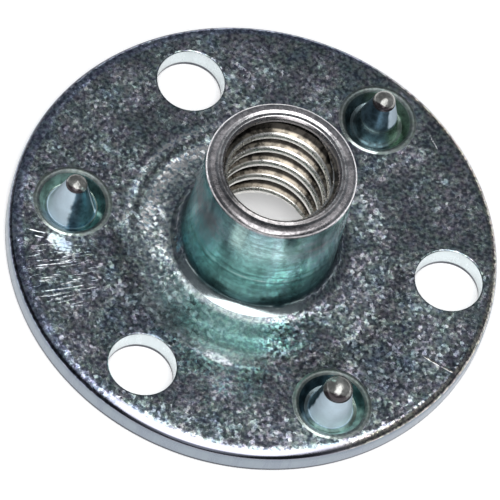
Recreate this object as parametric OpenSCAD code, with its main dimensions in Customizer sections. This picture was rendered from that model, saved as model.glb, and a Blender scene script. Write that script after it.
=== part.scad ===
// Tee nut with brad holes and coined prongs, pressed and drawn from one disc of sheet steel.
// The underside of the flange lies on Z = 0, and the barrel stands along +Z.

/* [Flange] */
// Outside diameter of the flange
flange_d = 19.05; // [16:0.05:26]
// Thickness of the sheet
flange_t = 1; // [0.8:0.05:1.4]
// Die roll: rounding of the flange's upper edge
edge_roll_r = 0.38; // [0.2:0.02:0.5]
// Rounding of the flange's lower edge
lower_edge_r = 0.1; // [0.04:0.02:0.2]

/* [Bore] */
// Diameter of the bore, which is the thread's major diameter
bore_d = 4.83; // [4:0.01:6.4]
// Radial width of the countersink at the mouth of the bore
countersink_w = 0.22; // [0.08:0.01:0.24]
// Depth of the countersink
countersink_h = 0.2; // [0.15:0.05:0.5]
// Radius of the drawn lead-in on the underside
lead_in_r = 0.9; // [0.5:0.05:1.2]

/* [Barrel] */
// Height of the rim above the underside of the flange
barrel_h = 6.56; // [5:0.02:10]
// Wall of the barrel at the rim
rim_wall = 0.5; // [0.46:0.02:1]
// Rounding of the rim's outer edge
rim_round_r = 0.2; // [0.1:0.01:0.22]
// Draft of the barrel's outside, in degrees
barrel_draft = 1; // [1:0.5:6]
// Fillet where the barrel leaves the flange
barrel_fillet_r = 0.75; // [0.3:0.01:1]

/* [Draw bead] */
// Flat land between the barrel's fillet and the bead
bead_land = 0.75; // [0.3:0.05:0.8]
// Width of the shallow bead that the drawing die leaves around the barrel
bead_w = 1.1; // [0.6:0.05:1.4]
// Height of the bead
bead_h = 0.03; // [0.03:0.01:0.12]

/* [Brad holes] */
// Number of brad holes, and of the prongs between them
hole_count = 3; // [2:1:4]
// Diameter of each brad hole
hole_d = 2.62; // [1.6:0.02:3]
// Distance from the centres of the holes and prongs to the flange's edge
edge_distance = 2.14; // [1.9:0.02:2.6]
// Die roll: rounding of each hole's upper edge
hole_roll_r = 0.04; // [0.04:0.02:0.2]

/* [Prongs] */
// Diameter of a prong where it leaves the floor of its pit
prong_base_d = 1.8; // [1.6:0.02:2.2]
// Diameter of a prong at its shoulder, below the dome
prong_tip_d = 0.92; // [0.6:0.02:1.2]
// Height of the shoulder above the flange
prong_shoulder_h = 1.08; // [0.8:0.02:2]
// Height of the dome above the shoulder
prong_dome_h = 0.4; // [0.1:0.02:0.4]
// Depth of the pit coined around each prong
pit_depth = 0.38; // [0.2:0.02:0.5]
// Width of the pit's flat floor around the prong
pit_floor_w = 0.2; // [0.08:0.02:0.2]
// Radial width of the pit's sloping wall
pit_wall_w = 0.2; // [0.1:0.02:0.3]
// Width of the rounded lip around the pit
lip_w = 0.2; // [0.2:0.02:0.4]
// Height of the lip above the flange
lip_h = 0.04; // [0.02:0.01:0.1]

/* [Hidden] */
$fn = 128;

// Depth to which added shapes are sunk, and by which cutting shapes overrun
overrun = 0.2;

flange_r = flange_d / 2;
bore_r = bore_d / 2;
rim_r = bore_r + rim_wall;
pitch_r = flange_r - edge_distance;
hole_r = hole_d / 2;
prong_start = 180 / hole_count;
pit_floor_r = prong_base_d / 2 + pit_floor_w;
pit_r = pit_floor_r + pit_wall_w;

// Radius of the barrel's drafted outside at a height
function barrel_r(z) = rim_r + (barrel_h - z) * tan(barrel_draft);

// Centres, in the section plane, of the fillet at the barrel's foot and of the rim's rounding
fillet_z = flange_t + barrel_fillet_r;
fillet_r = barrel_r(fillet_z) + barrel_fillet_r / cos(barrel_draft);
round_z = barrel_h - rim_round_r;
round_r = barrel_r(round_z) - rim_round_r;
bead_r = fillet_r + bead_land + bead_w / 2;

// Low bump of width w and height h on the line y = 0, with its foot sunk below that line
module bump(w, h) {
  arc_r = (w * w / 4 + h * h) / (2 * h);
  intersection() {
    translate([0, h - arc_r])
      circle(arc_r);
    translate([-w / 2, 0])
      square([w, h]);
  }
  translate([-w / 2, -overrun])
    square([w, overrun]);
}

// What a rounded mouth takes from a hole of radius r that runs down from the line y = 0
module rounded_mouth(r, mouth_r) {
  difference() {
    translate([0, -mouth_r])
      square([r + mouth_r, mouth_r + overrun]);
    translate([r + mouth_r, -mouth_r])
      circle(mouth_r);
  }
}

module flange_section() {
  polygon([
    [0, 0],
    [flange_r - lower_edge_r, 0],
    [flange_r, lower_edge_r],
    [flange_r, flange_t - edge_roll_r],
    [flange_r - edge_roll_r, flange_t],
    [0, flange_t],
  ]);
  translate([flange_r - lower_edge_r, lower_edge_r])
    circle(lower_edge_r);
  translate([flange_r - edge_roll_r, flange_t - edge_roll_r])
    circle(edge_roll_r);
}

module barrel_section() {
  polygon([
    [0, 0],
    [barrel_r(0), 0],
    [barrel_r(round_z), round_z],
    [round_r, barrel_h],
    [0, barrel_h],
  ]);
  translate([round_r, round_z])
    circle(rim_round_r);
}

// Fillet at the barrel's foot, between its tangent points on the flange and on the drafted wall
module fillet_section() {
  top_z = fillet_z - barrel_fillet_r * sin(barrel_draft);
  difference() {
    polygon([
      [0, flange_t - overrun],
      [fillet_r, flange_t - overrun],
      [fillet_r, fillet_z],
      [fillet_r - barrel_fillet_r * cos(barrel_draft), top_z],
      [0, top_z],
    ]);
    translate([fillet_r, fillet_z])
      circle(barrel_fillet_r);
  }
}

module bore_section() {
  translate([0, -overrun])
    square([bore_r, barrel_h + 2 * overrun]);
  polygon([
    [0, barrel_h - countersink_h],
    [bore_r, barrel_h - countersink_h],
    [bore_r + countersink_w, barrel_h],
    [bore_r + countersink_w, barrel_h + overrun],
    [0, barrel_h + overrun],
  ]);
  mirror([0, 1])
    rounded_mouth(bore_r, lead_in_r);
}

// Drawn and rolled disc, before the holes and prongs
module blank() {
  rotate_extrude()
    difference() {
      union() {
        flange_section();
        barrel_section();
        fillet_section();
        translate([bead_r, flange_t])
          bump(bead_w, bead_h);
      }
      bore_section();
    }
}

module around_pitch_circle(start) {
  for (i = [0 : hole_count - 1])
    rotate(start + i * 360 / hole_count)
      translate([pitch_r, 0, 0])
        children();
}

module brad_hole() {
  translate([0, 0, -overrun])
    cylinder(r = hole_r, h = flange_t + 2 * overrun);
  translate([0, 0, flange_t])
    rotate_extrude()
      rounded_mouth(hole_r, hole_roll_r);
}

// Rounded ring of metal that the coining punch pushes up around the pit
module prong_lip() {
  translate([0, 0, flange_t])
    rotate_extrude()
      translate([pit_r + lip_w / 2, 0])
        bump(lip_w, lip_h);
}

module prong_pit() {
  translate([0, 0, flange_t - pit_depth])
    cylinder(r1 = pit_floor_r, r2 = pit_r, h = pit_depth);
}

// Cone that stands out of the pit and ends in a low dome
module prong() {
  rise = pit_depth + prong_shoulder_h;
  base_r = prong_base_d / 2;
  tip_r = prong_tip_d / 2;
  translate([0, 0, flange_t - pit_depth])
    rotate_extrude() {
      translate([0, -overrun])
        square([base_r, overrun]);
      polygon([[0, 0], [base_r, 0], [tip_r, rise], [0, rise]]);
      translate([0, rise])
        intersection() {
          bump(prong_tip_d, prong_dome_h);
          square([tip_r, prong_dome_h]);
        }
    }
}

module tee_nut() {
  color([0.56, 0.6, 0.59]) {
    difference() {
      union() {
        blank();
        around_pitch_circle(prong_start)
          prong_lip();
      }
      around_pitch_circle(prong_start)
        prong_pit();
      around_pitch_circle(0)
        brad_hole();
    }
    around_pitch_circle(prong_start)
      prong();
  }
}

tee_nut();
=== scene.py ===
import math

import bmesh
import bpy
from mathutils import Matrix, Vector, noise


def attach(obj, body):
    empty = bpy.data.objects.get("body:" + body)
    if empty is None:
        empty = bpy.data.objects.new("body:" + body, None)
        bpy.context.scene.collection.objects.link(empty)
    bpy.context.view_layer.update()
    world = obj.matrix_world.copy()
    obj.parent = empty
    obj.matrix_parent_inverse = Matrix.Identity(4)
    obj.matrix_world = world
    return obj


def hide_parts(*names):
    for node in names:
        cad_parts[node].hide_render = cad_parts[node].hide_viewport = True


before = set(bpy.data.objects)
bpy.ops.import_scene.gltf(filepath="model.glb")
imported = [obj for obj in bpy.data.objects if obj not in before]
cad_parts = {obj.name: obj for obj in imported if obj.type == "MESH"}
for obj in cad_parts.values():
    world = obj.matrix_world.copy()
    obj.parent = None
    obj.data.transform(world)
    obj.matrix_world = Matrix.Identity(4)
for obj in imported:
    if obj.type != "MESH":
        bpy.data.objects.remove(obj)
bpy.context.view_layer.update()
scene = bpy.context.scene
scene.view_settings.view_transform = "Standard"
print("frame loaded")

mm = 0.001
fullTurn = 2 * math.pi
mergeDistance = 1e-4   # mm, points closer than this are one point

# The way the photo was taken: turn and height of the camera round the nut, and its tilt
shot = {
    "turn": -8.14,       # degrees from +X to the picture's level axis
    "height": 59.23,     # degrees above the floor
    "roll": 18.9,
    "distance": 404.8,   # mm
    "lens": 758.7,
    "sensor": 36,
    "across": -0.16,     # mm, small offsets of the aim
    "up": 0.05,
}
turn, height, roll = (math.radians(shot[k]) for k in ("turn", "height", "roll"))
levelAxis = Vector((math.cos(turn), math.sin(turn), 0))
awayAxis = Vector((-math.sin(turn), math.cos(turn), 0))
backAxis = Vector((0, 0, math.sin(height))) - awayAxis * math.cos(height)
riseAxis = backAxis.cross(levelAxis)

camera = bpy.data.objects.new("camera", bpy.data.cameras.new("camera"))
scene.collection.objects.link(camera)
camX = levelAxis * math.cos(roll) + riseAxis * math.sin(roll)
camY = riseAxis * math.cos(roll) - levelAxis * math.sin(roll)
spot = (backAxis * shot["distance"] + levelAxis * shot["across"] + riseAxis * shot["up"]) * mm
camera.matrix_world = Matrix.Translation(spot) @ Matrix((camX, camY, backAxis)).transposed().to_4x4()
camera.data.sensor_width = shot["sensor"]
camera.data.lens = shot["lens"]
camera.data.clip_start = 0.01
scene.camera = camera
print("camera placed")


# Node helpers
def newMaterial(name):
    mat = bpy.data.materials.new(name)
    mat.use_nodes = True
    mat.node_tree.nodes.clear()
    return mat, mat.node_tree


def setInput(tree, socket, value):
    if isinstance(value, bpy.types.NodeSocket):
        tree.links.new(value, socket)
    elif socket.type == "RGBA" and len(value) == 3:
        socket.default_value = (*value, 1)
    else:
        socket.default_value = value


def addNode(tree, kind, links=None, **settings):
    node = tree.nodes.new(kind)
    for key, value in settings.items():
        setattr(node, key, value)
    for key, value in (links or {}).items():
        setInput(tree, node.inputs[key], value)
    return node


def calc(tree, operation, a, b=0.0, c=0.0):
    return addNode(tree, "ShaderNodeMath", {0: a, 1: b, 2: c}, operation=operation).outputs[0]


def product(tree, first, *others):
    for other in others:
        first = calc(tree, "MULTIPLY", first, other)
    return first


def vectorMath(tree, operation, a, b=(0, 0, 0), c=(0, 0, 0)):
    return addNode(tree, "ShaderNodeVectorMath", {0: a, 1: b, 2: c}, operation=operation)


def ramp(tree, value, low, high, first=0.0, last=1.0):
    # smooth step from one value to another
    node = addNode(tree, "ShaderNodeMapRange",
                   {"Value": value, "From Min": low, "From Max": high, "To Min": first, "To Max": last},
                   interpolation_type="SMOOTHSTEP")
    return node.outputs[0]


def mmRamp(tree, value, limits, first=0.0, last=1.0):
    # smooth step between two lengths in mm
    low, high = limits
    return ramp(tree, value, low * mm, high * mm, first, last)


def mmShare(tree, value, limits):
    # straight share of the way between two lengths in mm
    low, high = limits
    node = addNode(tree, "ShaderNodeMapRange", {"Value": value, "From Min": low * mm, "From Max": high * mm})
    return node.outputs[0]


def spread(tree, grain, first=0.0, last=1.0):
    # the middle of a noise's range, drawn out
    return ramp(tree, grain, 0.35, 0.65, first, last)


def ruffle(tree, value, grain, amount):
    # a value that the grain moves up and down
    return calc(tree, "MULTIPLY_ADD", grain, amount, calc(tree, "SUBTRACT", value, amount / 2))


def mixColour(tree, factor, a, b, blend="MIX"):
    node = addNode(tree, "ShaderNodeMix", data_type="RGBA", blend_type=blend)
    for key, value in (("Factor_Float", factor), ("A_Color", a), ("B_Color", b)):
        setInput(tree, next(s for s in node.inputs if s.identifier == key), value)
    return next(s for s in node.outputs if s.identifier == "Result_Color")


def toneColour(tree, factor, colour, tone):
    # the colour times a tone, where the factor says so
    return mixColour(tree, factor, colour, tone, "MULTIPLY")


def colourBand(tree, value, stops):
    # colours along a value, each stop is (place, colour)
    node = addNode(tree, "ShaderNodeValToRGB", {"Fac": value})
    band = node.color_ramp
    while len(band.elements) < len(stops):
        band.elements.new(0.5)
    for element, (place, colour) in zip(band.elements, stops):
        element.position = place
        element.color = (*colour, 1)
    return node.outputs["Color"]


def grains(tree, place, scale, detail=2.0, rough=0.5, stretch=(1, 1, 1), shift=0.0):
    moved = addNode(tree, "ShaderNodeMapping", {"Vector": place, "Scale": stretch, "Location": (shift, shift, shift)})
    node = addNode(tree, "ShaderNodeTexNoise",
                   {"Vector": moved.outputs[0], "Scale": scale, "Detail": detail, "Roughness": rough})
    return node.outputs["Fac"]


def attribute(tree, name):
    return addNode(tree, "ShaderNodeAttribute", attribute_name=name).outputs["Fac"]


def objectPoint(tree):
    return addNode(tree, "ShaderNodeTexCoord").outputs["Object"]


def objectPlace(tree):
    # place on the piece, its distance from the axis and its height, in metres
    place = objectPoint(tree)
    flat = vectorMath(tree, "MULTIPLY", place, (1, 1, 0)).outputs[0]
    radius = vectorMath(tree, "LENGTH", flat).outputs["Value"]
    level = addNode(tree, "ShaderNodeSeparateXYZ", {0: place}).outputs["Z"]
    return place, radius, level


def bumpNode(tree, heightSocket, depth, before=None):
    links = {"Height": heightSocket, "Strength": 1.0, "Distance": depth}
    if before is not None:
        links["Normal"] = before
    return addNode(tree, "ShaderNodeBump", links).outputs[0]


def leanNormal(tree, normal, direction, amount):
    lean = addNode(tree, "ShaderNodeVectorMath", {0: direction, "Scale": amount}, operation="SCALE").outputs[0]
    return vectorMath(tree, "ADD", normal, lean).outputs[0]


def metalOut(tree, colour, rough, normal, metallic=1.0):
    shade = addNode(tree, "ShaderNodeBsdfPrincipled",
                    {"Base Color": colour, "Metallic": metallic, "Roughness": rough, "Normal": normal})
    addNode(tree, "ShaderNodeOutputMaterial", {"Surface": shade.outputs[0]})


def markMask(tree, place, marks):
    # sum of thin tapered marks, each (x, y, length, width, turn) in mm and degrees
    total = None
    for x, y, length, width, turned in marks:
        local = addNode(tree, "ShaderNodeMapping",
                        {"Vector": place, "Location": (x * mm, y * mm, 0), "Rotation": (0, 0, math.radians(turned)),
                         "Scale": (length / 2 * mm, width / 2 * mm, 1)}, vector_type="TEXTURE")
        reach = vectorMath(tree, "LENGTH", local.outputs[0]).outputs["Value"]
        mask = ramp(tree, reach, 1.0, 0.3)
        total = mask if total is None else calc(tree, "MAXIMUM", total, mask)
    return total


def viewAngles(tree, place, radius):
    # cosine and sine of a point's turn from the side that faces the photographer
    found = []
    for axis in (-awayAxis, levelAxis):
        reach = vectorMath(tree, "DOT_PRODUCT", place, tuple(axis)).outputs["Value"]
        found.append(calc(tree, "DIVIDE", reach, radius))
    return found


# How a ring mark fades: shares of its width, and degrees beyond and within its ends
ringFade = {"outer": 0.55, "inner": 0.2, "beyond": 10, "within": 6}


def ringMask(tree, radius, facing, across, ring):
    # soft part of a ring: radius and width in mm, middle turn from the near side and half width in degrees
    ringR, width, middle, half = ring
    off = calc(tree, "ABSOLUTE", calc(tree, "SUBTRACT", radius, ringR * mm))
    band = mmRamp(tree, off, (width * ringFade["outer"], width * ringFade["inner"]))
    turned = calc(tree, "MULTIPLY", facing, math.cos(math.radians(middle)))
    turned = calc(tree, "MULTIPLY_ADD", across, math.sin(math.radians(middle)), turned)
    start, full = (math.cos(math.radians(a)) for a in (half + ringFade["beyond"], half - ringFade["within"]))
    return product(tree, band, ramp(tree, turned, start, full))


# Floor: a sheet of white paper
paper = {"size": 700, "drop": 0.02, "colour": (0.86, 0.86, 0.87), "glow": 0.42}
bm = bmesh.new()
bmesh.ops.create_grid(bm, x_segments=8, y_segments=8, size=paper["size"] / 2 * mm)
bmesh.ops.translate(bm, verts=bm.verts, vec=(0, 0, -paper["drop"] * mm))
floorMesh = bpy.data.meshes.new("floor")
bm.to_mesh(floorMesh)
bm.free()
floor = bpy.data.objects.new("floor", floorMesh)
scene.collection.objects.link(floor)
floorMat, tree = newMaterial("white_paper")
lightPath = addNode(tree, "ShaderNodeLightPath")
seen = calc(tree, "MAXIMUM", lightPath.outputs["Is Camera Ray"], lightPath.outputs["Is Glossy Ray"])
seen = calc(tree, "MAXIMUM", seen, lightPath.outputs["Is Transmission Ray"])
paperShade = addNode(tree, "ShaderNodeBsdfDiffuse", {"Color": paper["colour"]})
paperGlow = addNode(tree, "ShaderNodeEmission", {"Color": (1, 1, 1), "Strength": product(tree, seen, paper["glow"])})
paperBoth = addNode(tree, "ShaderNodeAddShader", {0: paperShade.outputs[0], 1: paperGlow.outputs[0]})
addNode(tree, "ShaderNodeOutputMaterial", {"Surface": paperBoth.outputs[0]})
floorMesh.materials.append(floorMat)
print("floor laid")

# Studio light: one wide soft lamp over and in front of the nut, a dim room round it
room = {"colour": (0.75, 0.82, 0.9, 1), "level": 0.14}
world = bpy.data.worlds.new("room")
scene.world = world
world.use_nodes = True
world.node_tree.nodes["Background"].inputs["Color"].default_value = room["colour"]
world.node_tree.nodes["Background"].inputs["Strength"].default_value = room["level"]

lamp = {
    "name": "soft_box",
    "across": 0.07,      # where it hangs, as the photographer sees it
    "away": -0.45,
    "up": 0.885,
    "distance": 600,
    "width": 540,
    "length": 1340,
    "level": 3.1,        # brightness of the lamp's face
}
aim = (levelAxis * lamp["across"] + awayAxis * lamp["away"] + Vector((0, 0, lamp["up"]))).normalized()
lampSide = (levelAxis - aim * levelAxis.dot(aim)).normalized()
lampData = bpy.data.lights.new(lamp["name"], "AREA")
lampData.shape = "ELLIPSE"
lampData.size = lamp["width"] * mm
lampData.size_y = lamp["length"] * mm
lampData.energy = lamp["level"] * math.pi * math.pi / 4 * lampData.size * lampData.size_y
softBox = bpy.data.objects.new(lamp["name"], lampData)
softBox.matrix_world = (Matrix.Translation(aim * lamp["distance"] * mm)
                        @ Matrix((lampSide, aim.cross(lampSide), aim)).transposed().to_4x4())
softBox.visible_camera = False
scene.collection.objects.link(softBox)
print("lamp hung")

# The nut's body, in mm. It follows the solid, apart from the stepped rim and each prong's own height and lean.
# A corner is (radius, height, length cut from each side for its rounding).
nut = {
    "turnSteps": 256,
    "smallSteps": 80,
    "arcSteps": 10,
    "holeArcSteps": 4,
    "thick": 1.0,
    "pitchR": 7.385,
    "holeShift": 0.13,     # how far the punch for holes and prongs sits off the barrel's axis
    "edgeShift": -0.14,    # and the blanking die
    "drawn": [
        (3.6, 0, 0), (2.415, 0, 0.9), (2.415, 6.12, 0.03), (2.2, 6.28, 0.04), (2.2, 6.47, 0.05),
        (2.31, 6.59, 0.04), (2.45, 6.53, 0.04), (2.56, 6.57, 0.03), (2.915, 6.56, 0.19), (3.012, 1, 0.737),
        (4.5, 1, 0.12), (5.1, 1.03, 0.3), (5.5, 1, 0.1), (5.62, 1, 0),
    ],
    "edge": [(9.2, 0, 0), (9.145, 1, 0), (9.525, 1, 0.38), (9.525, 0, 0.1)],
    "hole": [(1.4, 0, 0), (1.4, 1, 0), (1.31, 1, 0.05), (1.31, 0, 0.03)],
    "holeTurns": (0, 120, 240),
    "closingR": 1.35,      # closing lines inside the metal lie further out than this in their section
    "pit": [
        (0, 0.3, 0), (1.57, 0.3, 0), (1.57, 1, 0), (1.52, 1, 0.02), (1.4, 1.04, 0.06), (1.26, 0.94, 0.06),
        (1.02, 0.64, 0),
    ],
    "pitFloor": 0.62,
    "prongs": [
        # turn; radius at the pit's floor and at the shoulder; height of the shoulder;
        # height of the dome as a share of a half ball; lean of the tip across the picture;
        # middle and half width in degrees of the frosted side, which is also painted pale (painted light); how far out
        # it goes as a share of the radius;
        # turn of a painted highlight streak; middle and half width of the painted shade side of the pit and cone
        {"turn": 180, "baseR": 0.92, "tipR": 0.42, "shoulder": 2.3, "dome": 0.65, "lean": -0.05,
         "frostAndLight": (180, 86), "frostAndLightReach": 1.0, "streak": 0, "shade": (250, 45)},
        {"turn": 60, "baseR": 0.9, "tipR": 0.45, "shoulder": 2.4, "dome": 0.85, "lean": 0.0,
         "frostAndLight": (10, 63), "frostAndLightReach": 0.75, "streak": None, "shade": (212, 95)},
        {"turn": 300, "baseR": 0.84, "tipR": 0.57, "shoulder": 2.12, "dome": 1.0, "lean": 0.03,
         "frostAndLight": (290, 92), "frostAndLightReach": 1.0, "streak": None, "shade": (165, 62)},
    ],
    "streakHalf": 8,         # degrees
    "lipGleam": (242, 38),   # middle and half width in degrees of the painted highlight arc on each pit's lip
    "tipRough": 0.012,
    "tipGrain": 5.0,
    "tipFine": 2.3,          # how much finer the second grain is
    "tipSeed": 3.7,
    "tipBelow": 0.06,        # how far below the shoulder the lumps start
    "sharpDegrees": 40,
}


def drawSection(corners, arcSteps):
    # one flat outline whose corners are rounded by bevels
    bm = bmesh.new()
    ring = [bm.verts.new((r, 0, z)) for r, z, cut in corners]
    bm.faces.new(ring)
    for corner, (r, z, cut) in zip(ring, corners):
        if cut:
            bmesh.ops.bevel(bm, geom=[corner], offset=cut, offset_type="OFFSET", affect="VERTICES",
                            segments=arcSteps, profile=0.5, material=-1)
    bmesh.ops.remove_doubles(bm, verts=bm.verts, dist=mergeDistance)
    return bm


def spinSection(corners, arcSteps, turnSteps, closing):
    # the outline without its inner closing lines, turned round the axis
    bm = drawSection(corners, arcSteps)
    bmesh.ops.delete(bm, geom=bm.faces[:], context="FACES_ONLY")
    inner = [e for e in bm.edges if closing(e.verts[0].co, e.verts[1].co)]
    bmesh.ops.delete(bm, geom=inner, context="EDGES")
    bmesh.ops.spin(bm, geom=bm.verts[:] + bm.edges[:], cent=(0, 0, 0), axis=(0, 0, 1), dvec=(0, 0, 0),
                   angle=fullTurn, steps=turnSteps, use_merge=True)
    bmesh.ops.remove_doubles(bm, verts=bm.verts, dist=mergeDistance)
    return bm


def turnAbout(degrees):
    return Matrix.Rotation(math.radians(degrees), 3, "Z")


def addPart(whole, part, turnDegrees=0.0, outward=0.0, shift=0.0):
    bmesh.ops.translate(part, verts=part.verts, vec=(outward, 0, 0))
    bmesh.ops.rotate(part, verts=part.verts, cent=(0, 0, 0), matrix=turnAbout(turnDegrees))
    bmesh.ops.translate(part, verts=part.verts, vec=levelAxis * shift)
    mesh = bpy.data.meshes.new("part")
    part.to_mesh(mesh)
    part.free()
    whole.from_mesh(mesh)
    bpy.data.meshes.remove(mesh)


def isInnerLine(a, b):
    # closing lines run from the underside to the top inside the metal
    spans = abs(a.z - b.z) > 0.9 and abs(a.z + b.z - nut["thick"]) < 0.05
    return spans and min(a.x, b.x) > nut["closingR"]


def isProngLine(a, b):
    # a prong's section closes along its axis and below its pit
    return max(a.x, b.x) < 0.001 or min(a.z, b.z) < 0.31


def prongCorners(prong):
    tip = prong["tipR"]
    top = prong["shoulder"] + tip
    return nut["pit"] + [
        (prong["baseR"], nut["pitFloor"], 0), (tip, prong["shoulder"], 0.01), (tip, top, tip * 0.97), (0, top, 0),
    ]


def roughenTip(part, prong):
    # a torn, lumpy dome, and the lean of the whole prong
    lean = turnAbout(-prong["turn"]) @ levelAxis * prong["lean"]
    seed = Vector((prong["turn"], nut["tipSeed"], 0))
    shoulder, grain = prong["shoulder"], nut["tipGrain"]
    for v in part.verts:
        rise = (v.co.z - nut["pitFloor"]) / (shoulder - nut["pitFloor"])
        if rise > 0 and math.hypot(v.co.x, v.co.y) < 1.0:
            if v.co.z > shoulder:
                v.co.z = shoulder + (v.co.z - shoulder) * prong["dome"]
            if v.co.z > shoulder - nut["tipBelow"]:
                lump = noise.noise(v.co * grain + seed) + 0.5 * noise.noise(v.co * grain * nut["tipFine"] + seed)
                fade = min(1, (v.co.z - shoulder + nut["tipBelow"]) / 0.1)
                v.co += v.co.normalized() * lump * nut["tipRough"] * fade
            v.co += lean * rise


body = bmesh.new()
addPart(body, spinSection(nut["drawn"], nut["arcSteps"], nut["turnSteps"], isInnerLine))
addPart(body, spinSection(nut["edge"], nut["arcSteps"], nut["turnSteps"], isInnerLine), shift=nut["edgeShift"])
for turnDegrees in nut["holeTurns"]:
    part = spinSection(nut["hole"], nut["holeArcSteps"], nut["smallSteps"], isInnerLine)
    addPart(body, part, turnDegrees, nut["pitchR"], nut["holeShift"])
for prong in nut["prongs"]:
    part = spinSection(prongCorners(prong), nut["arcSteps"], nut["smallSteps"], isProngLine)
    roughenTip(part, prong)
    addPart(body, part, prong["turn"], nut["pitchR"], nut["holeShift"])
bmesh.ops.remove_doubles(body, verts=body.verts, dist=mergeDistance)
for level, up in ((nut["thick"], 1), (0.0, -1)):
    rims = [e for e in body.edges if e.is_boundary and all(abs(v.co.z - level) < mergeDistance for v in e.verts)]
    bmesh.ops.triangle_fill(body, edges=rims, use_beauty=True, use_dissolve=False, normal=(0, 0, up))
bmesh.ops.recalc_face_normals(body, faces=body.faces)
print("body", len(body.verts), "points", sum(e.is_boundary for e in body.edges), "open edges")

# Which finish each face takes, by mm from the barrel's axis, from the prong's or hole's axis, or from the underside
zones = {"flange": 0, "barrel": 1, "bore": 2, "cut": 3, "prong": 4, "tip": 5}
zoneLines = {
    "lipR": 1.4,
    "pitR": 1.28,
    "pitZ": 0.5,
    "tipRise": 0.01,
    "markR": 1.53,     # how far the marks of a prong reach
    "holeR": 1.4,
    "cutZ": 0.99,
    "edgeR": 9.2,
    "rollZ": 0.8,
    "boreR": 2.3,
    "leadInR": 3.4,
    "leadInZ": 0.95,
    "barrelR": 3.42,
}


def seatOf(degrees):
    return turnAbout(degrees) @ Vector((nut["pitchR"], 0, 0)) + levelAxis * nut["holeShift"]


prongSeats = [(seatOf(prong["turn"]), prong) for prong in nut["prongs"]]
holeSeats = [seatOf(degrees) for degrees in nut["holeTurns"]]


def flatDistance(a, b):
    return math.hypot(a.x - b.x, a.y - b.y)


def zoneOf(c, lines):
    r = math.hypot(c.x, c.y)
    for seat, prong in prongSeats:
        if flatDistance(c, seat) < lines["lipR"] and c.z > lines["pitZ"]:
            if flatDistance(c, seat) > lines["pitR"]:
                return "flange"
            return "tip" if c.z > prong["shoulder"] + lines["tipRise"] else "prong"
    inHole = any(flatDistance(c, seat) < lines["holeR"] for seat in holeSeats)
    if c.z < lines["cutZ"] and (r > lines["edgeR"] or inHole):
        return "flange" if r > lines["edgeR"] and c.z > lines["rollZ"] else "cut"
    if r < lines["boreR"] or (r < lines["leadInR"] and c.z < lines["leadInZ"]):
        return "bore"
    if r < lines["barrelR"] and c.z > nut["thick"]:
        return "barrel"
    return "flange"


def turnGap(a, b):
    # degrees between two turns
    return abs((a - b + 180) % 360 - 180)


def sideShare(swing, middle, half):
    # over 0.5 within the half width of the middle turn, in degrees, and under it outside
    return 0.5 + (half - turnGap(swing, middle)) / 180


for face in body.faces:
    face.material_index = zones[zoneOf(face.calc_center_median(), zoneLines)]
markNames = ("frostAndLight", "stand", "lip", "streak", "shade", "dusk", "gleam")
frostAndLight, stand, lip, streak, shade, dusk, gleam = (body.verts.layers.float.new(name) for name in markNames)
for v in body.verts:
    for seat, prong in prongSeats:
        reach = Vector((v.co.x - seat.x, v.co.y - seat.y))
        if 0.001 < reach.length < zoneLines["markR"] and v.co.z > zoneLines["pitZ"]:
            swing = math.degrees(math.atan2(reach.y, reach.x))
            # the frosted side, which is also painted pale (painted light)
            v[frostAndLight] = sideShare(swing, *prong["frostAndLight"])
            v[stand] = reach.length / prong["baseR"] / prong["frostAndLightReach"]
            v[lip] = 1.0
            # painted highlight arc on the lip
            v[gleam] = sideShare(swing, *nut["lipGleam"])
            # painted shade side of the pit and cone
            v[shade] = sideShare(swing, *prong["shade"])
            # dark ring at the tip's foot, painted widest on the near side (painted shade)
            v[dusk] = reach.length / prong["tipR"] * (0.6 - 0.4 * reach.normalized().dot(awayAxis.xy))
            # a painted highlight streak
            if prong["streak"] is not None:
                v[streak] = max(0, 1 - turnGap(swing, prong["streak"]) / nut["streakHalf"])
bmesh.ops.scale(body, verts=body.verts, vec=(mm, mm, mm))


def finishPiece(bm, name, materials):
    mesh = bpy.data.meshes.new(name)
    bm.to_mesh(mesh)
    bm.free()
    for polygon in mesh.polygons:
        polygon.use_smooth = True
    mesh.set_sharp_from_angle(angle=math.radians(nut["sharpDegrees"]))
    for mat in materials:
        mesh.materials.append(mat)
    piece = bpy.data.objects.new(name, mesh)
    scene.collection.objects.link(piece)
    weighted = piece.modifiers.new("weighted_normal", "WEIGHTED_NORMAL")
    weighted.keep_sharp = True
    weighted.weight = 50
    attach(piece, "root")
    return piece


# In the looks below, turns are cosines (facing) and sines (across) from the near side; R and Z are mm.

# Grain of the plating, on the flange and at the barrel's foot: coloured specks and small crystal facets
grainLook = {
    "speckScale": 6800,
    "tintScale": 4600,
    "tintRange": 0.46,
    "tintLow": 0.77,
    "dark": (0.44, 0.46, 0.54),
    "pale": (1.55, 1.54, 1.52),
    "facetScale": 7200,
}


def platingGrain(tree, place, look):
    speck = grains(tree, place, look["speckScale"], 2.0, 0.6)
    tint = addNode(tree, "ShaderNodeTexNoise",
                   {"Vector": place, "Scale": look["tintScale"], "Detail": 3.0, "Roughness": 0.6}).outputs["Color"]
    tint = vectorMath(tree, "MULTIPLY_ADD", tint, (look["tintRange"],) * 3, (look["tintLow"],) * 3).outputs[0]
    shade = mixColour(tree, ramp(tree, speck, 0.34, 0.66), look["dark"], look["pale"])
    cell = addNode(tree, "ShaderNodeTexVoronoi", {"Vector": place, "Scale": look["facetScale"]}).outputs["Color"]
    tilt = vectorMath(tree, "SUBTRACT", cell, (0.5, 0.5, 0.5)).outputs[0]
    return speck, toneColour(tree, 1.0, tint, shade), tilt


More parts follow.
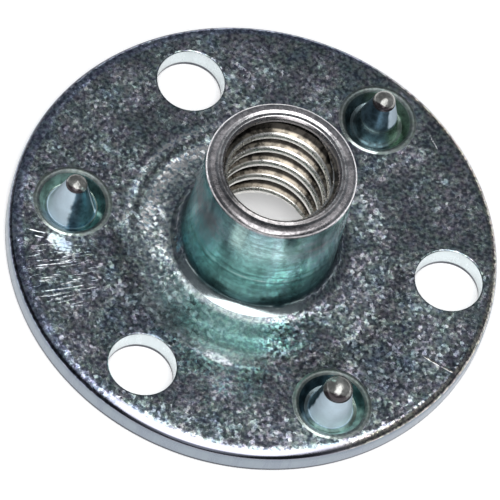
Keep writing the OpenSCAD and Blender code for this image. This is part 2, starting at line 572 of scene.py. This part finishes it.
# Flange: dark dull zinc with many-coloured fine specks, a few bright facets and rub marks
flangeLook = {
    "base": (0.33, 0.362, 0.388),
    "stains": [
        (0.3, (0.86, 0.97, 1.09)), (0.45, (0.96, 1.05, 0.97)), (0.58, (1.06, 0.98, 1.02)), (0.72, (0.93, 1.0, 1.05)),
    ],
    "stainScale": 900,
    "facetTilt": 0.165,
    "cloudScale": 520,
    "waveScale": 700,
    "waveDepth": 14e-6,
    "rough": (0.18, 0.28),
    "dullRough": 0.28,
    # calm sector in front of the barrel, and the burnished front of the rolled edge
    "sectorLeft": (-0.8, -0.55),
    "sectorRight": (0.45, 0.2),
    "sectorFront": (0.2, 0.45),
    "sectorR": (5.62, 5.45),
    "sectorCalm": 0.45,
    "rolledR": (9.08, 9.2),
    "burnishFront": (0.7, 0.85),
    "burnishLeft": (-0.45, -0.25),
    # painted reflection of the barrel on the flange, a teal glow
    "glowLeft": (0.7, 0.8, 0.8),
    "glowFront": (0.185, 0.222, 0.224),
    "glowTurn": (-0.35, -0.75),
    "glowR": (4.9, 3.7),
    "glowWiden": 0.6,
    "glowEnd": (0.7, 0.3),
    # painted light: the right side of the face is painted lighter
    "rightTone": (1.13, 1.12, 1.11),
    "rightTurn": (0.2, 0.7),
    # tones of the rolled edge by side, painted light, lighter on the right, and its painted dark reflection line
    "edgeFront": (0.38, 0.38, 0.45),
    "edgeLeft": (0.34, 0.38, 0.48),
    "edgeRight": (0.66, 0.62, 0.54),
    "edgeTurn": (0.1, 0.5),
    "edgeLine": (0.05, 0.055, 0.07),
    "lineTopZ": (0.94, 0.9),
    "lineFootZ": (0.79, 0.83),
    # the lip's colours: painted highlight on its bright arc and painted shade elsewhere
    "lip": (0.4, 0.46, 0.42),
    "lipShade": (0.17, 0.2, 0.18),
    "rings": [
        # concentric rings round the barrel, painted as bright and dark arcs on the sides where highlights and shade
        # fall (painted highlight and shade): radius, width, middle turn from the near side, half width, tone
        (4.34, 0.6, -118, 38, 1.75), (4.82, 0.32, -122, 42, 0.45), (5.17, 0.3, -112, 50, 1.75),
        (5.35, 0.9, -48, 20, 0.58), (4.42, 0.3, 0, 35, 1.35), (4.93, 0.3, 3, 14, 0.6), (5.4, 0.25, 3, 12, 1.15),
        (6.0, 0.9, 3, 14, 0.5), (4.1, 0.5, 28, 14, 0.5), (5.3, 0.7, 28, 14, 0.5), (4.72, 0.3, 60, 25, 1.3),
        (5.75, 1.1, 68, 34, 0.6), (5.3, 0.4, -142, 26, 1.4),
    ],
    # marks are x, y, length, width, turn
    # painted shade: patches where the face is painted darker
    "shadePatches": [(-3.7, -4.8, 6.0, 4.4, -40), (5.7, -4.3, 4.4, 3.4, 60), (8.4, -3.4, 4.0, 1.6, 70)],
    "dim": (0.55, 0.57, 0.61),
    "hatchTurn": 24,
    "hatchScale": 1000,
    "hatchPatch": (-7.1, -3.2, 3.2, 3.4, 24),
    "dents": [(-7.47, -1.93, 1.7, 0.8, -29), (-0.75, -5.52, 1.5, 0.5, -13)],
    "dentTilt": 0.22,
    "dentCalm": 0.8,
    "rubs": [
        (-8.42, -1.61, 0.8, 0.09, -2), (-8.28, -1.83, 0.5, 0.07, -1), (-7.09, -2.43, 0.5, 0.07, 25),
        (-7.52, -2.87, 1.8, 0.08, 20), (-7.36, -3.33, 0.4, 0.06, 21), (-7.0, -3.84, 1.85, 0.08, 23),
        (-7.01, -4.07, 1.05, 0.07, 28), (-6.96, -4.22, 1.2, 0.07, 26), (-6.84, -4.37, 0.8, 0.06, 28),
        (6.08, 5.98, 1.1, 0.1, -55),
    ],
    "rubColour": (0.85, 0.88, 0.9),
    "rubRelief": 1.2,
    "scuffs": [(7.3, -3.64, 0.95, 0.11, -22), (8.05, -3.9, 0.8, 0.13, -17)],
    "scuffColour": (0.6, 0.57, 0.52),
    "scuffRelief": 0.35,
    # lean of the face before the rolled edge, in front and on the right
    "droop": 0.13,
    "droopR": (8.92, 9.15),
    "droopFront": (0.6, 0.85),
    "droopLeft": (-0.45, -0.2),
    "border": 0.15,
    "borderR": (9.0, 9.2),
    "borderRight": (0.5, 0.7),
    "borderFront": (0.0, 0.3),
    "droopEndR": (9.3, 9.2),
}


def flangeFinish(look):
    mat, tree = newMaterial("zinc_flange")
    place, radius, level = objectPlace(tree)
    cloud = grains(tree, place, look["cloudScale"], 2.0, 0.5, shift=0.3)
    wave = grains(tree, place, look["waveScale"], 1.0, 0.5, shift=0.7)
    speck, fleck, tilt = platingGrain(tree, place, grainLook)
    facing, across = viewAngles(tree, place, radius)
    dent = product(tree, markMask(tree, place, look["dents"]), ramp(tree, speck, 0.3, 0.6, 0.45, 1.0))

    # how grainy the face is: calm in front of the barrel, in the dents and where the rolled edge is burnished
    sector = product(tree, ramp(tree, across, *look["sectorLeft"]), ramp(tree, across, *look["sectorRight"]),
                     ramp(tree, facing, *look["sectorFront"]), mmRamp(tree, radius, look["sectorR"]))
    rolled = mmRamp(tree, radius, look["rolledR"])
    burnished = product(tree, ramp(tree, facing, *look["burnishFront"]), ramp(tree, across, *look["burnishLeft"]))
    calm = calc(tree, "MAXIMUM", product(tree, sector, look["sectorCalm"]), product(tree, rolled, burnished))
    calm = calc(tree, "MAXIMUM", calm, product(tree, dent, look["dentCalm"]))
    gritty = calc(tree, "SUBTRACT", 1.0, calm)

    # stained zinc, the painted reflection of the barrel, the painted lighter right side, the painted highlight and
    # shade arcs of the rings and the painted shade patches
    stain = colourBand(tree, grains(tree, place, look["stainScale"], 3.0, 0.6, shift=0.1), look["stains"])
    colour = toneColour(tree, 1.0, stain, look["base"])
    # painted reflection of the barrel, paler on the left
    left = ramp(tree, across, *look["glowTurn"])
    glow = mixColour(tree, left, look["glowFront"], look["glowLeft"])
    near = calc(tree, "MULTIPLY_ADD", left, -look["glowWiden"] * mm, radius)
    near = calc(tree, "MAXIMUM", mmRamp(tree, near, look["glowR"], 0.0, 0.8), sector)
    colour = mixColour(tree, product(tree, near, ramp(tree, across, *look["glowEnd"])), colour, glow)
    # painted light: the right side painted lighter
    colour = toneColour(tree, ramp(tree, across, *look["rightTurn"]), colour, look["rightTone"])
    # painted highlight and shade arcs on the rings
    for *ring, tone in look["rings"]:
        colour = toneColour(tree, ringMask(tree, radius, facing, across, ring), colour, (tone, tone, tone))
    # painted shade patches
    colour = toneColour(tree, markMask(tree, place, look["shadePatches"]), colour, look["dim"])

    # rolled edge, its tone painted by side (painted light), with a painted dark reflection line where the cut wall
    # starts
    edge = mixColour(tree, ramp(tree, across, *look["edgeTurn"]), look["edgeLeft"], look["edgeRight"])
    edge = mixColour(tree, burnished, edge, look["edgeFront"])
    line = product(tree, mmRamp(tree, level, look["lineTopZ"]), mmRamp(tree, level, look["lineFootZ"]),
                   ramp(tree, across, 0.45, 0.65, 1.0, 0.5))
    edge = mixColour(tree, line, edge, look["edgeLine"])
    colour = mixColour(tree, rolled, colour, edge)
    colour = toneColour(tree, gritty, colour, fleck)

    # lips of the pits, smooth and painted pale on the arc where the highlight falls (painted highlight), rougher and
    # painted dark elsewhere (painted shade)
    lip = attribute(tree, "lip")
    gleam = ramp(tree, ruffle(tree, attribute(tree, "gleam"), speck, 0.3), 0.47, 0.57)
    colour = mixColour(tree, product(tree, lip, 0.75), colour, mixColour(tree, gleam, look["lipShade"], look["lip"]))
    dull = product(tree, lip, calc(tree, "SUBTRACT", 1.0, gleam))
    gritty = product(tree, gritty, calc(tree, "SUBTRACT", 1.0, product(tree, lip, 0.8)))

    # rub marks, the hatched patch and the scuffs
    rub = product(tree, markMask(tree, place, look["rubs"]), ramp(tree, speck, 0.38, 0.5, 0.3, 1.0))
    turned = addNode(tree, "ShaderNodeMapping",
                     {"Vector": place, "Rotation": (0, 0, -math.radians(look["hatchTurn"]))}).outputs[0]
    hatch = ramp(tree, grains(tree, turned, look["hatchScale"], 2.0, 0.5, (1, 9, 1), 0.2), 0.58, 0.66)
    rub = calc(tree, "MAXIMUM", rub, product(tree, hatch, markMask(tree, place, [look["hatchPatch"]])))
    colour = mixColour(tree, rub, colour, look["rubColour"])
    scuff = markMask(tree, place, look["scuffs"])
    colour = mixColour(tree, scuff, colour, look["scuffColour"])
    relief = calc(tree, "MULTIPLY_ADD", rub, look["rubRelief"], wave)
    relief = calc(tree, "MULTIPLY_ADD", scuff, look["scuffRelief"], relief)
    normal = bumpNode(tree, relief, look["waveDepth"])
    facets = spread(tree, cloud, 0.5 * look["facetTilt"], look["facetTilt"])
    normal = leanNormal(tree, normal, tilt, product(tree, gritty, facets))

    # the face droops before the rolled edge in front, and each dent leans towards the front
    droop = product(tree, mmRamp(tree, radius, look["droopR"], 0.0, look["droop"]),
                    ramp(tree, facing, *look["droopFront"]), ramp(tree, across, *look["droopLeft"]))
    border = product(tree, mmRamp(tree, radius, look["borderR"], 0.0, look["border"]),
                     ramp(tree, across, *look["borderRight"]), ramp(tree, facing, *look["borderFront"]))
    droop = product(tree, calc(tree, "MAXIMUM", droop, border), mmRamp(tree, radius, look["droopEndR"]))
    normal = leanNormal(tree, normal, tuple(-awayAxis), droop)
    normal = leanNormal(tree, normal, tuple(-awayAxis * look["dentTilt"]), dent)
    normal = vectorMath(tree, "NORMALIZE", normal).outputs[0]
    rough = calc(tree, "MULTIPLY_ADD", dull, look["dullRough"], spread(tree, cloud, *look["rough"]))
    metalOut(tree, colour, rough, normal)
    return mat


# Barrel: smooth blue-green plating with fine drawing rings; painted highlights at the fillet and under the rim, a
# painted dark band above the fillet, painted light on the sides and painted shade behind
barrelLook = {
    "heightZ": (1.0, 6.6),
    "colours": [
        # share of the height, colour; the pale stops at the fillet and the light stop under the rim are painted
        # highlights, the dark stops just above the fillet are painted shade
        (0.0, (0.6, 0.68, 0.7)), (0.045, (0.57, 0.67, 0.68)), (0.066, (0.14, 0.21, 0.22)), (0.08, (0.08, 0.15, 0.16)),
        (0.11, (0.11, 0.22, 0.22)), (0.16, (0.19, 0.37, 0.35)), (0.33, (0.17, 0.37, 0.34)), (0.4, (0.23, 0.47, 0.43)),
        (0.58, (0.31, 0.55, 0.51)), (0.71, (0.47, 0.67, 0.62)), (0.83, (0.37, 0.54, 0.51)), (0.93, (0.26, 0.38, 0.37)),
        (1.0, (0.24, 0.33, 0.33)),
    ],
    "brightest": 0.9,
    "wallZ": (1.3, 1.8),
    "fleckScale": 4200,
    # painted light on the sides and painted shade on the back
    "leftSide": (1.9, 2.5, 2.5),
    "leftTurn": (-0.25, -0.75),
    "rightSide": (1.6, 1.8, 1.75),
    "rightTurn": (0.25, 0.75),
    "sideFront": (-0.05, 0.2),
    "back": (0.62, 0.46, 0.48),
    "backTurn": (0.0, -0.3),
    # two dark rings round the barrel with a pale one between them
    "darkRings": (2.9, 3.3),
    "darkRingWidth": (0.09, 0.03),
    "darkRing": (0.35, 0.4, 0.42),
    "paleRingFoot": (2.98, 3.04),
    "paleRingTop": (3.12, 3.06),
    "paleRing": (0.7, 0.8, 0.78),
    "foot": (0.36, 0.41, 0.43),
    "footTurn": (0.8, 0.55),
    "footZ": (1.6, 1.25),
    "footTilt": 0.15,
    # rim, in lanes from the bore outwards
    "rim": [
        (0.0, (0.24, 0.22, 0.23)), (0.15, (0.54, 0.52, 0.52)), (0.27, (0.38, 0.36, 0.36)), (0.39, (0.48, 0.47, 0.48)),
        (0.5, (0.38, 0.36, 0.37)), (0.76, (0.4, 0.38, 0.39)), (0.9, (0.5, 0.48, 0.49)), (1.0, (0.48, 0.47, 0.48)),
    ],
    "rimR": (2.2, 2.95),
    "rimZ": (6.28, 6.38),
    # painted light: the rim's tone by turn, lighter at the sides and back, darker in front
    "rimTurn": (0.2, 0.9),
    "rimTone": (1.8, 0.7),
    "rimRough": 0.05,
    "streakScale": 1500,
    "streakDepth": 4e-6,
    "ringDepth": 3e-6,
    "waver": 0.5,
    "rough": (0.14, 0.26),
}


def barrelFinish(look):
    mat, tree = newMaterial("zinc_barrel")
    place, radius, level = objectPlace(tree)
    facing, across = viewAngles(tree, place, radius)
    streak = grains(tree, place, look["streakScale"], 3.0, 0.6, (1, 1, 0.25))
    rings = grains(tree, place, look["streakScale"], 3.0, 0.65, (0.25, 0.25, 3.0))
    waver = ruffle(tree, level, streak, look["waver"] * mm)
    colour = colourBand(tree, mmShare(tree, waver, look["heightZ"]), look["colours"])
    wall = mmRamp(tree, level, look["wallZ"])
    fleck = spread(tree, grains(tree, place, look["fleckScale"], 3.0, 0.65), 0.8, 1.2)
    colour = toneColour(tree, wall, colour, product(tree, fleck, spread(tree, rings, 0.84, 1.17)))

    # painted light on the sides and painted shade behind
    for side in ("left", "right"):
        aside = product(tree, ramp(tree, across, *look[side + "Turn"]), wall, ramp(tree, facing, *look["sideFront"]))
        colour = toneColour(tree, aside, colour, look[side + "Side"])
    behind = product(tree, ramp(tree, facing, *look["backTurn"]), wall)
    colour = toneColour(tree, behind, colour, look["back"])

    for ringZ in look["darkRings"]:
        off = calc(tree, "ABSOLUTE", calc(tree, "SUBTRACT", waver, ringZ * mm))
        colour = toneColour(tree, mmRamp(tree, off, look["darkRingWidth"], 0.0, 0.6), colour, look["darkRing"])
    pale = product(tree, mmRamp(tree, level, look["paleRingFoot"]), mmRamp(tree, level, look["paleRingTop"]),
                   ramp(tree, streak, 0.4, 0.6, 0.1, 0.6))
    colour = mixColour(tree, pale, colour, look["paleRing"])

    # away from the front the foot is as grainy as the flange
    speck, grit, tilt = platingGrain(tree, place, grainLook)
    foot = product(tree, ramp(tree, facing, *look["footTurn"]), mmRamp(tree, level, look["footZ"]))
    colour = mixColour(tree, foot, colour, toneColour(tree, 1.0, look["foot"], grit))

    top = mmRamp(tree, level, look["rimZ"])
    # the rim's specks times its tone painted by turn (painted light)
    worn = product(tree, spread(tree, speck, 0.75, 1.25), ramp(tree, facing, *look["rimTurn"], *look["rimTone"]))
    rim = toneColour(tree, 1.0, colourBand(tree, mmShare(tree, radius, look["rimR"]), look["rim"]), worn)
    colour = mixColour(tree, top, colour, rim)
    colour = vectorMath(tree, "MINIMUM", colour, (look["brightest"],) * 3).outputs[0]

    normal = bumpNode(tree, streak, look["streakDepth"])
    normal = bumpNode(tree, product(tree, rings, wall), look["ringDepth"], normal)
    normal = leanNormal(tree, normal, tilt, product(tree, foot, look["footTilt"]))
    normal = vectorMath(tree, "NORMALIZE", normal).outputs[0]
    rough = calc(tree, "MULTIPLY_ADD", top, look["rimRough"], spread(tree, streak, *look["rough"]))
    metalOut(tree, colour, rough, normal)
    return mat


# Bore and thread: yellowish flanks, crests painted pale (painted highlight), roots painted near black (painted shade),
# greyer at the mouth
threadLook = {
    "root": (0.02, 0.018, 0.016),
    "rootR": (2.17, 2.25),
    "flank": (0.25, 0.22, 0.18),
    "crest": (0.92, 0.91, 0.87),
    "crestR": (2.11, 2.06),
    "mouth": (0.36, 0.34, 0.35),
    "mouthZ": (6.15, 6.25),
    "grainScale": 3600,
    "grainDepth": 6e-6,
    "rough": (0.2, 0.34),
}


def threadFinish(look):
    mat, tree = newMaterial("zinc_thread")
    place, radius, level = objectPlace(tree)
    grain = grains(tree, place, look["grainScale"], 3.0, 0.6, (1, 1, 0.5))
    # painted shade in the roots
    colour = mixColour(tree, mmRamp(tree, radius, look["rootR"]), look["flank"], look["root"])
    colour = toneColour(tree, 1.0, colour, spread(tree, grain, 0.45, 1.6))
    # painted highlight on the crests
    colour = mixColour(tree, mmRamp(tree, radius, look["crestR"]), colour, look["crest"])
    colour = mixColour(tree, mmRamp(tree, level, look["mouthZ"]), colour, look["mouth"])
    metalOut(tree, colour, spread(tree, grain, *look["rough"]), bumpNode(tree, grain, look["grainDepth"]))
    return mat


# Cut edges: satin walls that the punch left, painted paler in the holes (painted light) and painted dark at the foot
# (painted shade)
cutLook = {
    "pale": (0.28, 0.32, 0.36),
    "dark": (0.235, 0.267, 0.314),
    "hole": (0.6, 0.65, 0.66),
    "holeR": (9.2, 9.1),
    "line": (0.05, 0.055, 0.07),
    "lineZ": (0.21, 0.13),
    "scoreScale": 2200,
    "scoreDepth": 3e-6,
    "rough": (0.22, 0.36),
}


def cutFinish(look):
    mat, tree = newMaterial("zinc_cut_edge")
    place, radius, level = objectPlace(tree)
    score = grains(tree, place, look["scoreScale"], 3.0, 0.6, (1, 1, 0.15))
    colour = mixColour(tree, spread(tree, score), look["dark"], look["pale"])
    # painted light: paler walls in the holes
    colour = mixColour(tree, mmRamp(tree, radius, look["holeR"]), colour, look["hole"])
    # painted shade: a dark line at the foot
    colour = mixColour(tree, mmRamp(tree, level, look["lineZ"]), colour, look["line"])
    metalOut(tree, colour, spread(tree, score, *look["rough"]), bumpNode(tree, score, look["scoreDepth"]))
    return mat


# Prongs: frosted and painted pale on one side (painted light), blue-green and painted dark on the other, each in its
# pit with a painted shade side
prongLook = {
    # painted light and shade: the frosted side painted pale, the cone and pit painted dark on their shade side and
    # lighter on their lit side
    "pale": (0.57, 0.69, 0.78),
    "deep": (0.13, 0.25, 0.31),
    "deepDark": (0.12, 0.19, 0.24),
    "pitDark": (0.25, 0.32, 0.34),
    "pitLit": (0.45, 0.58, 0.5),
    "rough": (0.42, 0.55),        # bare, frosted
    "metallic": (1.0, 0.15),
    "pitSmooth": 0.18,
    "frostAndLightEdge": 0.12,            # how far the grain breaks up the edges of the frosted, painted pale side and of the painted shade
    "shadeEdge": 0.3,
    "grainScale": 2600,
    "grainDepth": 2e-6,
}


def prongFinish(look):
    mat, tree = newMaterial("zinc_prong")
    stand = attribute(tree, "stand")
    grain = grains(tree, objectPoint(tree), look["grainScale"], 3.0, 0.6)
    # the frosted side, painted pale, and the painted highlight streak
    frostAndLight = ramp(tree, ruffle(tree, attribute(tree, "frostAndLight"), grain, look["frostAndLightEdge"]), 0.47, 0.53)
    frostAndLight = calc(tree, "MAXIMUM", frostAndLight, ramp(tree, attribute(tree, "streak"), 0.3, 0.6))
    frostAndLight = product(tree, frostAndLight, ramp(tree, stand, 1.06, 1.0))
    # painted shade side of the pit and cone
    shaded = ramp(tree, ruffle(tree, attribute(tree, "shade"), grain, look["shadeEdge"]), 0.42, 0.56)
    pit = mixColour(tree, shaded, look["pitLit"], look["pitDark"])
    cone = mixColour(tree, shaded, look["deep"], look["deepDark"])
    low = ramp(tree, stand, 1.02, 1.1)
    dark = toneColour(tree, 1.0, mixColour(tree, low, cone, pit), spread(tree, grain, 0.6, 1.4))
    pale = toneColour(tree, 1.0, look["pale"], spread(tree, grain, 0.94, 1.04))
    rough = calc(tree, "MULTIPLY_ADD", low, -look["pitSmooth"], ramp(tree, frostAndLight, 0.0, 1.0, *look["rough"]))
    metalOut(tree, mixColour(tree, frostAndLight, dark, pale), rough, bumpNode(tree, grain, look["grainDepth"]),
             ramp(tree, frostAndLight, 0.0, 1.0, *look["metallic"]))
    return mat


# Prong tips: worn through to dull brown-grey steel, with a dark ring at the foot of the dome where the plating ends,
# painted darker on the near side (painted shade)
tipLook = {
    "worn": (0.22, 0.22, 0.21),
    "bright": (0.44, 0.44, 0.42),
    "dusk": (0.06, 0.05, 0.055),
    "duskEdge": 0.5,
    "metallic": 0.65,
    "grainScale": 3600,
    "grainDepth": 4e-6,
    "rough": (0.16, 0.26),
}


def tipFinish(look):
    mat, tree = newMaterial("bare_prong_tip")
    grain = grains(tree, objectPoint(tree), look["grainScale"], 3.0, 0.6)
    colour = mixColour(tree, spread(tree, grain), look["worn"], look["bright"])
    # painted shade: a dark ragged ring at the foot of the dome, widest on the near side
    dusk = ramp(tree, ruffle(tree, attribute(tree, "dusk"), grain, look["duskEdge"]), 0.68, 0.78)
    colour = mixColour(tree, dusk, colour, look["dusk"])
    metalOut(tree, colour, spread(tree, grain, *look["rough"]), bumpNode(tree, grain, look["grainDepth"]),
             look["metallic"])
    return mat


threadMat = threadFinish(threadLook)
finishes = [flangeFinish(flangeLook), barrelFinish(barrelLook), threadMat, cutFinish(cutLook),
            prongFinish(prongLook), tipFinish(tipLook)]   # in the order of zones
nutBody = finishPiece(body, "nut_body", finishes)
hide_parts("tee_nut")
print("body finished")

# Thread: one ridge that winds up the bore, number 10-24, right-handed
thread = {
    "pitch": 1.058,
    "stepsPerTurn": 96,
    "crestR": 1.98,
    "baseR": 2.45,
    "crestHalf": 0.14,
    "baseHalf": 0.4,
    "crestCut": 0.1,
    "arcSteps": 4,
    "lowest": 0.3,       # height of the ridge's middle where it starts
    "highest": 7.0,
    "trimLow": 0.1,      # nothing of the ridge lies below or above these heights
    "trimHigh": 6.25,
    "phaseTurn": 81.9,   # degrees, where the crest is at phaseHeight
    "phaseHeight": 4.35,
    # run-out of the crest at the mouth and at the foot: radius, height, slope
    "mouth": (2.23, 6.2, 2),
    "foot": (1.98, 1.15, 1.3),
    "boreR": 2.415,
    "leadInR": 0.9,
    "leadInClear": 0.03,
}


def boreLimit(z):
    # least radius that the mouth above and the lead-in below leave the thread
    mouthR, mouthZ, mouthSlope = thread["mouth"]
    footR, footZ, footSlope = thread["foot"]
    limit = max(mouthR - (mouthZ - z) * mouthSlope, footR + (footZ - z) * footSlope)
    leadIn = thread["leadInR"]
    if z < leadIn:
        inward = math.sqrt(max(0, leadIn ** 2 - (leadIn - z) ** 2))
        limit = max(limit, thread["boreR"] + leadIn - inward + thread["leadInClear"])
    return limit


ridge = drawSection([
    (thread["baseR"], -thread["baseHalf"], 0), (thread["crestR"], -thread["crestHalf"], thread["crestCut"]),
    (thread["crestR"], thread["crestHalf"], thread["crestCut"]), (thread["baseR"], thread["baseHalf"], 0),
], thread["arcSteps"])
bmesh.ops.delete(ridge, geom=ridge.faces[:], context="FACES_ONLY")
turns = (thread["highest"] - thread["lowest"]) / thread["pitch"]
steps = round(turns * thread["stepsPerTurn"])
startTurn = math.radians(thread["phaseTurn"])
startTurn += (thread["lowest"] - thread["phaseHeight"]) / thread["pitch"] * fullTurn
bmesh.ops.translate(ridge, verts=ridge.verts, vec=(0, 0, thread["lowest"]))
bmesh.ops.rotate(ridge, verts=ridge.verts, cent=(0, 0, 0), matrix=Matrix.Rotation(startTurn, 3, "Z"))
bmesh.ops.spin(ridge, geom=ridge.verts[:] + ridge.edges[:], cent=(0, 0, 0), axis=(0, 0, 1),
               dvec=(0, 0, thread["pitch"] / thread["stepsPerTurn"]), angle=turns * fullTurn, steps=steps,
               use_merge=False)
bmesh.ops.remove_doubles(ridge, verts=ridge.verts, dist=mergeDistance / 10)
bmesh.ops.holes_fill(ridge, edges=[e for e in ridge.edges if e.is_boundary], sides=0)
for v in ridge.verts:
    z = max(thread["trimLow"], min(v.co.z, thread["trimHigh"]))
    stretch = max(1, boreLimit(z) / math.hypot(v.co.x, v.co.y))
    v.co = Vector((v.co.x * stretch, v.co.y * stretch, z))
bmesh.ops.scale(ridge, verts=ridge.verts, vec=(mm, mm, mm))
bmesh.ops.recalc_face_normals(ridge, faces=ridge.faces)
print("thread", len(ridge.verts), "points", sum(e.is_boundary for e in ridge.edges), "open edges")
finishPiece(ridge, "thread_turns", [threadMat])
print("thread finished")
